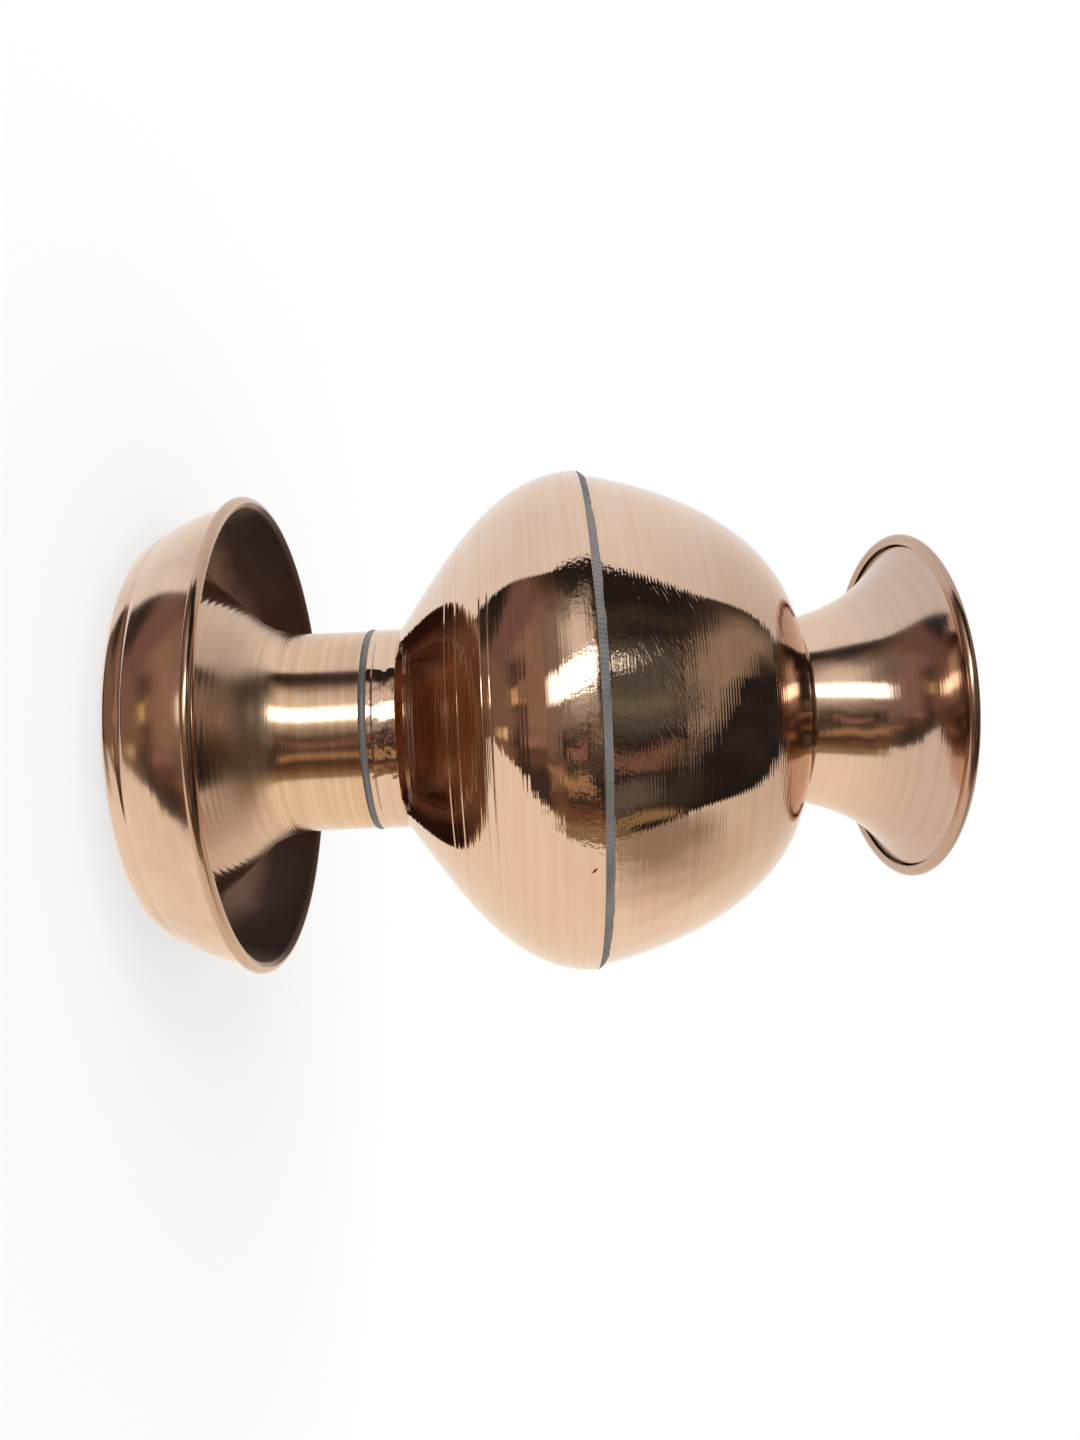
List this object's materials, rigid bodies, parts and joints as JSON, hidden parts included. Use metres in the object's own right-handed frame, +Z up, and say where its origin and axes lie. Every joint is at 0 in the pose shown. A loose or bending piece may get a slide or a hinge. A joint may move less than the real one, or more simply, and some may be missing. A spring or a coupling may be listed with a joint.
{
  "type": "footed lota",
  "caption": "Copper water vessel with a round two-part body, a short stem on a saucer foot and a trumpet mouth with a rolled rim.",
  "frame": {"origin": "centre of the foot's flat underside, on the surface that the vessel stands on", "axes": "+Z up along the vessel's axis towards its mouth, +X and +Y across it, alike in every direction"},
  "size_m": [0.1384, 0.1384, 0.2035],
  "materials": {
    "copper": "polished copper with fine turning marks",
    "solder": "dull grey soft solder",
    "wire": "plain iron wire"
  },
  "bodies": {
    "root": {"foot_dish": "copper", "foot_rim_wire": "wire", "pedestal": "copper", "pedestal_solder": "solder", "lower_body": "copper", "stem_solder": "solder", "upper_body": "copper", "body_solder": "solder", "mouth_flare": "copper", "mouth_rim_wire": "wire", "neck_solder": "solder"}
  },
  "joints": []
}
